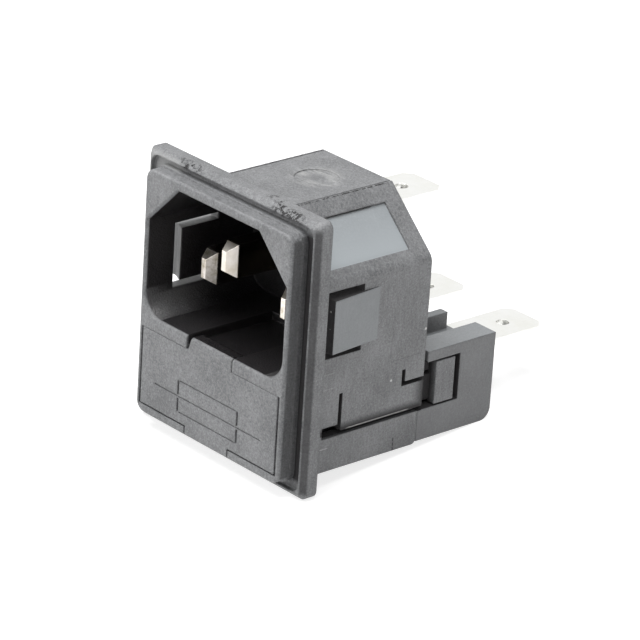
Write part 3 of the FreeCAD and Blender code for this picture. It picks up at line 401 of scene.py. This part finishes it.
def shade_mask(tree, spot, slots, right):
    """Painted shade where places see little but black nylon: gaps, the groove's sides, the flange's
    bevel, and the arms' dips, ends and lower edges.

    The skirt's ledge, which faces up below the arm, catches some light, so its painted shade is weaker.
    """
    ledge = inside(tree, spot, SKIRT_LEDGE)
    low_edge = ramp(tree, spot.z, 1.0, 0.0, -9.7, -8.8)
    return most(
        tree, times(tree, slots, right, ramp(tree, ledge, 1.0, 0.35, 0.0, 1.0)),
        inside(tree, spot, ARM_DIP), inside(tree, spot, GROOVE_FLOOR),
        times(tree, inside(tree, spot, PLATE_SIDE), 0.6),
        times(tree, inside(tree, spot, FLANGE_BEVEL), 0.75),
        times(tree, low_edge, inside(tree, spot, ARM_SIDE)), inside(tree, spot, ARM_END),
    )


def gate_mask(tree, spot, scuff):
    """The scuffed ring round the gate, on the roof."""
    ring = between(tree, distance_from(tree, (spot.x, GATE_X), (spot.y, GATE_Y)), *GATE_RING)
    return times(tree, ring, ramp(tree, scuff, 0.0, 1.0, 0.42, 0.6), between(tree, spot.z, *ROOF_TOP))


def nick_mask(tree, spot, pitted):
    """Nicks along the top groove, and the seams and witness lines of the mould's inserts."""
    patch = most(tree, *[between(tree, spot.x, *stretch) for stretch in NICKED])
    insert = most(tree, inside(tree, spot, INSERT_REAR), inside(tree, spot, INSERT_FOOT))
    return most(
        tree,
        times(tree, patch, inside(tree, spot, TOP_GROOVE), ramp(tree, pitted, 0.0, 1.0, 0.5, 0.54)),
        times(tree, inside(tree, spot, TOP_RIM), ramp(tree, pitted, 0.0, 1.0, 0.55, 0.59)),
        times(tree, inside(tree, spot, ROOF_SEAM), ramp(tree, pitted, 0.0, 1.0, 0.46, 0.52)),
        times(tree, inside(tree, spot, WITNESS_LINE), ramp(tree, pitted, 0.0, 1.0, 0.42, 0.5)),
        times(tree, insert, 0.3),
    )


def flash_and_highlight_mask(tree, spot):
    """Pale dashes and specks on the right side, and a painted highlight along the latch arm's lower edge
    where a thin rail catches light.
    """
    marks = [times(tree, inside(tree, spot, ARM_RAIL_HIGHLIGHT), 0.6)]
    for front, rear, level, strength in SIDE_DASHES:
        dash = times(
            tree, between(tree, spot.x, *DASH_SKIN), between(tree, spot.y, front, rear, 0.15),
            between(tree, spot.z, level - 0.04, level + 0.04, 0.05),
        )
        marks.append(times(tree, dash, strength))
    for back, level, radius in SIDE_SPECKS:
        away = distance_from(tree, (spot.y, back), (spot.z, level))
        speck = between(tree, away, -1.0, radius, 0.05)
        marks.append(times(tree, speck, between(tree, spot.x, *SPECK_SKIN)))
    return most(tree, *marks)


def housing_marks(tree, place, tone, rough, grain):
    """The housing's smooth panels and tongues with painted sheen, painted light and shade in its slots,
    gaps and cavity, and the marks of its mould.
    """
    spot = spot_of(tree, place)
    panel, tongue = panel_mask(tree, spot), inside(tree, spot, TONGUES)
    slots = slot_mask(tree, spot)
    left, right = (ramp(tree, spot.x, *ends, -1.0, 1.0) for ends in ((1.0, 0.0), (0.0, 1.0)))
    # Painted sheen: the sunk panels are painted paler, more so towards the bottom, and the tongues a
    # little paler
    sheen_paler_below = ramp(tree, spot.z, 1.0, 0.72, 9.5, 13.0)
    tone = painted(tree, times(tree, panel, sheen_paler_below), tone, NYLON_SHEEN_AND_TOP_LIGHT)
    tone = painted(tree, times(tree, tongue, 0.75), tone, NYLON_TONGUE_SHEEN)
    # Painted light on the left slots' walls
    tone = painted(tree, times(tree, slots, left), tone, NYLON_LIT)
    # Painted light in the left end of the top groove
    tone = painted(tree, times(tree, inside(tree, spot, LEFT_GROOVE_LIGHT), 0.7), tone, NYLON_RUBBED_AND_LIT)
    scuff = noise(tree, stretched(tree, place, 0.5, 1.6, 0.5), *SCUFFS)
    ring = gate_mask(tree, spot, scuff)
    tone = painted(tree, times(tree, ring, 0.8), tone, NYLON_RUBBED_AND_LIT)
    nicks = nick_mask(tree, spot, noise(tree, place, *PITS))
    # Painted shade in the gaps, the groove's sides, the flange's bevel and the cavity; real nicks and
    # seams take the same dark colour
    shade, cavity = most(tree, shade_mask(tree, spot, slots, right), nicks), cavity_shade_mask(tree, spot)
    tone = painted(tree, most(tree, shade, cavity), tone, NYLON_SHADE_AND_NICKS)
    # Pale flash marks, and a painted highlight along the latch arm's rail
    tone = painted(tree, flash_and_highlight_mask(tree, spot), tone, NYLON_FLASH_AND_HIGHLIGHT)
    smooth = most(tree, panel, times(tree, tongue, 0.7))
    rough = mixed(tree, smooth, rough, PANEL_ROUGH)
    rough = mixed(tree, shade, mixed(tree, cavity, rough, CAVITY_ROUGH), GAP_ROUGH)
    height = mixed(tree, smooth, total(tree, grain, times(tree, ring, scuff), nicks), 0.5)
    return tone, rough, height


def carrier_marks(tree, place, tone, rough, grain):
    """A finer moulding, with painted light on its deck's upward faces and painted shade inside its latch
    windows.
    """
    spot = spot_of(tree, place)
    window_shade = inside(tree, spot, LATCH_WINDOWS)
    tone = painted(tree, 0.25, tone, NYLON)
    # Painted light on the deck's upward faces
    tone = painted(tree, times(tree, inside(tree, spot, CARRIER_DECK_TOP_LIGHT), 0.3), tone, NYLON_SHEEN_AND_TOP_LIGHT)
    # Painted shade inside the latch windows
    tone = painted(tree, window_shade, tone, NYLON_SHADE_AND_NICKS)
    return tone, mixed(tree, window_shade, rough, GAP_ROUGH), times(tree, grain, 0.4)


def drawer_marks(tree, place, tone, rough, grain):
    """Painted shade on the upper tab's top, which lies inside the cavity, and a pit in the front painted
    dark.
    """
    spot = spot_of(tree, place)
    pit = between(tree, distance_from(tree, (spot.x, PIT_X), (spot.z, PIT_Z)), *PIT)
    # Painted shade on the upper tab's top, and the pit painted dark
    dark = most(tree, inside(tree, spot, TAB_TOP), pit)
    return painted(tree, dark, tone, NYLON_SHADE_AND_NICKS), mixed(tree, dark, rough, TAB_ROUGH), grain


# --- metal and glass ------------------------------------------------------------------------------


def plated(name, bright, dull, patch, rough, tip_end=None):
    """Plated metal with faint drawing marks and dull patches, and painted shade on the pin behind a
    tapered tip.
    """
    material, tree, shader = new_material(name)
    place = own_place(tree)
    drawn = noise(tree, stretched(tree, place, 1.0, 0.08, 1.0), patch * 6.0, 3.0)
    patches = noise(tree, place, patch, 4.0, 0.6)
    tone = painted(tree, ramp(tree, patches, 0.0, 1.0, 0.4, 0.75), bright, dull)
    feed(tree, 1.0, shader.inputs["Metallic"])
    sheen = ramp(tree, patches, rough, rough + 0.12, 0.3, 0.7)
    if tip_end is not None:
        # Behind the tip the pin is painted darker: painted shade
        shaded_flank = ramp(tree, axes_of(tree, place)[1], 0.0, 1.0, tip_end - 0.1, tip_end + 0.1)
        sheen = mixed(tree, shaded_flank, 0.32, sheen)
        tone = painted(tree, shaded_flank, tone, NICKEL_SHADED_FLANK)
    feed(tree, tone, shader.inputs["Base Color"])
    feed(tree, sheen, shader.inputs["Roughness"])
    feed(tree, relief(tree, drawn, METAL_RELIEF, eased_edges(tree, METAL_EDGE)), shader.inputs["Normal"])
    return material


def fuse_glass():
    material, tree, shader = new_material("fuse_tube_glass")
    place = own_place(tree)
    waves = noise(tree, place, 0.3, 1.0)
    feed(tree, GLASS_TINT, shader.inputs["Base Color"])
    feed(tree, 1.0, shader.inputs["Transmission Weight"])
    feed(tree, 1.5, shader.inputs["IOR"])
    feed(tree, ramp(tree, waves, 0.02, 0.06, 0.3, 0.7), shader.inputs["Roughness"])
    feed(tree, relief(tree, waves, GLASS_RELIEF, eased_edges(tree, GLASS_EDGE)), shader.inputs["Normal"])
    return material


def dress(node, material):
    """Give a CAD node its finish."""
    slots = nodes[node].data.materials
    slots.clear()
    slots.append(material)


# --- fuse symbol ----------------------------------------------------------------------------------


def add_bar(cutter, left, right, low, high, deep):
    """A bar that cuts one straight stroke into the drawer's front."""
    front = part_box("fuse_drawer")[0].y
    size = Vector(((right - left) * MM, 2 * deep * MM, (high - low) * MM))
    centre = Vector(((left + right) / 2 * MM, front, (low + high) / 2 * MM))
    matrix = Matrix.Translation(centre) @ Matrix.Diagonal(size.to_4d())
    bmesh.ops.create_cube(cutter, size=1.0, matrix=matrix)


def symbol_cutter():
    """Bars for a rectangle with a line through it, the general symbol for a fuse."""
    cutter = bmesh.new()
    half, fine = STROKE / 2, HAIRLINE / 2
    for side in (-SYMBOL_HALF, SYMBOL_HALF):
        for low, high in (
            (SYMBOL_BASE, SYMBOL_LINE - SYMBOL_GAP), (SYMBOL_LINE + SYMBOL_GAP, SYMBOL_TOP),
        ):
            add_bar(cutter, side - half, side + half, low, high, STROKE_DEEP)
    inner = SYMBOL_HALF - STROKE
    for level in (SYMBOL_BASE, SYMBOL_TOP):
        add_bar(cutter, -inner, inner, level - fine, level + fine, HAIRLINE_DEEP)
    add_bar(cutter, -SYMBOL_REACH, SYMBOL_REACH, SYMBOL_LINE - fine, SYMBOL_LINE + fine, HAIRLINE_DEEP)
    return cutter


def joined_copy(node):
    """A copy of a node's mesh with its doubled points merged."""
    copy = bmesh.new()
    copy.from_mesh(nodes[node].data)
    bmesh.ops.remove_doubles(copy, verts=copy.verts, dist=0.001 * MM)
    return copy


def new_piece(name, mesh_maker):
    """Turn a finished mesh in the making into an object of the scene."""
    mesh = bpy.data.meshes.new(name)
    mesh_maker.to_mesh(mesh)
    mesh_maker.free()
    piece = bpy.data.objects.new(name, mesh)
    bpy.context.scene.collection.objects.link(piece)
    return piece


def eased_housing(material):
    """The housing with its snap tongues' outer front edges farther forward and their feet lower."""
    copy = joined_copy("housing")
    fronts, feet = [], []
    for point in copy.verts:
        across, back, up = abs(point.co.x) / MM, point.co.y / MM, point.co.z / MM
        if across > TONGUE_SKIN and FRONT_LOW < up < FRONT_HIGH and abs(back - TONGUE_FRONT) < NEAR:
            fronts.append(point)
        if across > TONGUE_INNER and FOOT_FORE < back < FOOT_REAR and abs(up - TONGUE_FOOT) < NEAR:
            feet.append(point)
    bmesh.ops.translate(copy, vec=(0, -FRONT_MOVE * MM, 0), verts=fronts)
    bmesh.ops.translate(copy, vec=(0, 0, -FOOT_MOVE * MM), verts=feet)
    housing = new_piece("eased_housing", copy)
    housing.data.materials.clear()
    housing.data.materials.append(material)
    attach(housing, "inlet")
    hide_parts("housing")


def engraved_drawer(material):
    """The drawer's moulding with the symbol cut into its front."""
    drawer = new_piece("engraved_fuse_drawer", joined_copy("fuse_drawer"))
    tool = new_piece("symbol_cutter", symbol_cutter())
    cut = drawer.modifiers.new("symbol", "BOOLEAN")
    cut.operation = "DIFFERENCE"
    cut.solver = "EXACT"
    cut.object = tool
    cut_mesh = bpy.data.meshes.new_from_object(
        drawer.evaluated_get(bpy.context.evaluated_depsgraph_get())
    )
    drawer.modifiers.clear()
    drawer.data = cut_mesh
    bpy.data.objects.remove(tool)
    cut_mesh.materials.clear()
    cut_mesh.materials.append(material)
    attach(drawer, "drawer")
    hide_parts("fuse_drawer")


tin = plated("tinned_tab", TIN, TIN_DULL, 0.22, 0.28)
live_nickel = plated("live_pin_nickel", NICKEL_FRESH, NICKEL_BROWN, 1.6, 0.05, LIVE_TIP_END)
bronze = plated("spring_bronze", BRONZE, BRONZE_DARK, 0.4, 0.3)
cap_plate = plated("fuse_cap_plate", NICKEL, TIN_DULL, 0.4, 0.2)
wire_metal = plated("fuse_wire_metal", TIN, TIN_DULL, 2.0, 0.3)
glass = fuse_glass()

housing_nylon = nylon("housing_nylon", housing_marks, 0.09, 0.25)
dress("housing", housing_nylon)
eased_housing(housing_nylon)
dress("contact_carrier", nylon("carrier_nylon", carrier_marks, 0.15, 0.5))
drawer_nylon = nylon("drawer_nylon", drawer_marks, 0.09, 0.9)
dress("fuse_drawer", drawer_nylon)
engraved_drawer(drawer_nylon)
dress("earth_pin", plated("earth_pin_nickel", NICKEL, NICKEL_WORN, 0.5, 0.05, EARTH_TIP_END))
dress("earth_tab", tin)
for pole in ("neutral", "line"):
    dress(f"{pole}_pin", live_nickel)
    dress(f"{pole}_tab", tin)
    dress(f"{pole}_front_contact", bronze)
    dress(f"{pole}_rear_spring", bronze)
    dress(f"{pole}_fuse_glass", glass)
    dress(f"{pole}_fuse_wire", wire_metal)
    for end in ("front", "rear"):
        dress(f"{pole}_fuse_{end}_cap", cap_plate)


# --- room -----------------------------------------------------------------------------------------


def shown_white(tree, surface, glow, output):
    """Show a white glow to the eye and in reflections, and the plain surface to soft light."""
    path = add(tree, "ShaderNodeLightPath")
    rays = [path.outputs[kind] for kind in ("Is Camera Ray", "Is Glossy Ray", "Is Transmission Ray")]
    mixer = add(tree, "ShaderNodeMixShader")
    feed(tree, most(tree, *rays), mixer.inputs[0])
    feed(tree, surface, mixer.inputs[1])
    feed(tree, glow, mixer.inputs[2])
    feed(tree, mixer.outputs[0], output)


def pale_floor():
    """Paper floor: it shows white and keeps a faint shadow."""
    material, tree, shader = new_material("paper_floor")
    tree.nodes.remove(shader)
    paper = add(tree, "ShaderNodeBsdfDiffuse")
    feed(tree, (0.8, 0.8, 0.8, 1), paper.inputs["Color"])
    faint = add(tree, "ShaderNodeBsdfDiffuse")
    feed(tree, (0.4, 0.4, 0.4, 1), faint.inputs["Color"])
    light = add(tree, "ShaderNodeEmission")
    feed(tree, 0.75, light.inputs["Strength"])
    both = add(tree, "ShaderNodeAddShader")
    feed(tree, faint.outputs[0], both.inputs[0])
    feed(tree, light.outputs[0], both.inputs[1])
    output = tree.nodes["Material Output"].inputs["Surface"]
    shown_white(tree, paper.outputs[0], both.outputs[0], output)
    return material


def make_floor():
    """A wide floor under the inlet, tilted as the inlet stands on it."""
    mesh = bpy.data.meshes.new("floor")
    grid = bmesh.new()
    bmesh.ops.create_grid(grid, x_segments=1, y_segments=1, size=FLOOR_HALF)
    foot = Vector((0, 0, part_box("housing")[0].z))
    tilt = Matrix.Rotation(math.radians(FLOOR_TILT), 4, "X")
    bmesh.ops.transform(grid, matrix=Matrix.Translation(foot) @ tilt, verts=grid.verts)
    grid.to_mesh(mesh)
    grid.free()
    mesh.materials.append(pale_floor())
    floor = bpy.data.objects.new("floor", mesh)
    bpy.context.scene.collection.objects.link(floor)


def make_world():
    world = bpy.data.worlds.new("studio")
    world.use_nodes = True
    bpy.context.scene.world = world
    tree = world.node_tree
    soft = tree.nodes["Background"]
    feed(tree, (1, 1, 1, 1), soft.inputs["Color"])
    feed(tree, SURROUNDINGS, soft.inputs["Strength"])
    white = add(tree, "ShaderNodeBackground")
    feed(tree, (1, 1, 1, 1), white.inputs["Color"])
    feed(tree, 1.0, white.inputs["Strength"])
    shown_white(tree, soft.outputs[0], white.outputs[0], tree.nodes["World Output"].inputs["Surface"])


def make_lamp(name, place, watts, size):
    """A soft box that faces the inlet."""
    lamp = bpy.data.lights.new(name, "AREA")
    lamp.shape = "SQUARE"
    lamp.size = size
    lamp.energy = watts
    holder = bpy.data.objects.new(name, lamp)
    holder.location = place
    holder.rotation_mode = "QUATERNION"
    holder.rotation_quaternion = (AIM - Vector(place)).to_track_quat("-Z", "Y")
    bpy.context.scene.collection.objects.link(holder)


def make_camera():
    turn, lift = math.radians(AZIMUTH), math.radians(ELEVATION)
    back = Vector((math.sin(turn) * math.cos(lift), -math.cos(turn) * math.cos(lift), math.sin(lift)))
    camera = bpy.data.cameras.new("camera")
    camera.lens = LENS
    camera.sensor_width = 36.0
    camera.clip_start = 0.01
    camera.clip_end = 20.0
    holder = bpy.data.objects.new("camera", camera)
    holder.location = AIM + back * DISTANCE
    holder.rotation_mode = "QUATERNION"
    level = (-back).to_track_quat("-Z", "Y")
    holder.rotation_quaternion = level @ Matrix.Rotation(math.radians(ROLL), 3, "Z").to_quaternion()
    bpy.context.scene.collection.objects.link(holder)
    bpy.context.scene.camera = holder


make_floor()
make_world()
for lamp_name, (lamp_place, watts, size) in LAMPS.items():
    make_lamp(lamp_name, lamp_place, watts, size)
make_camera()
bpy.context.scene.view_settings.view_transform = "Standard"
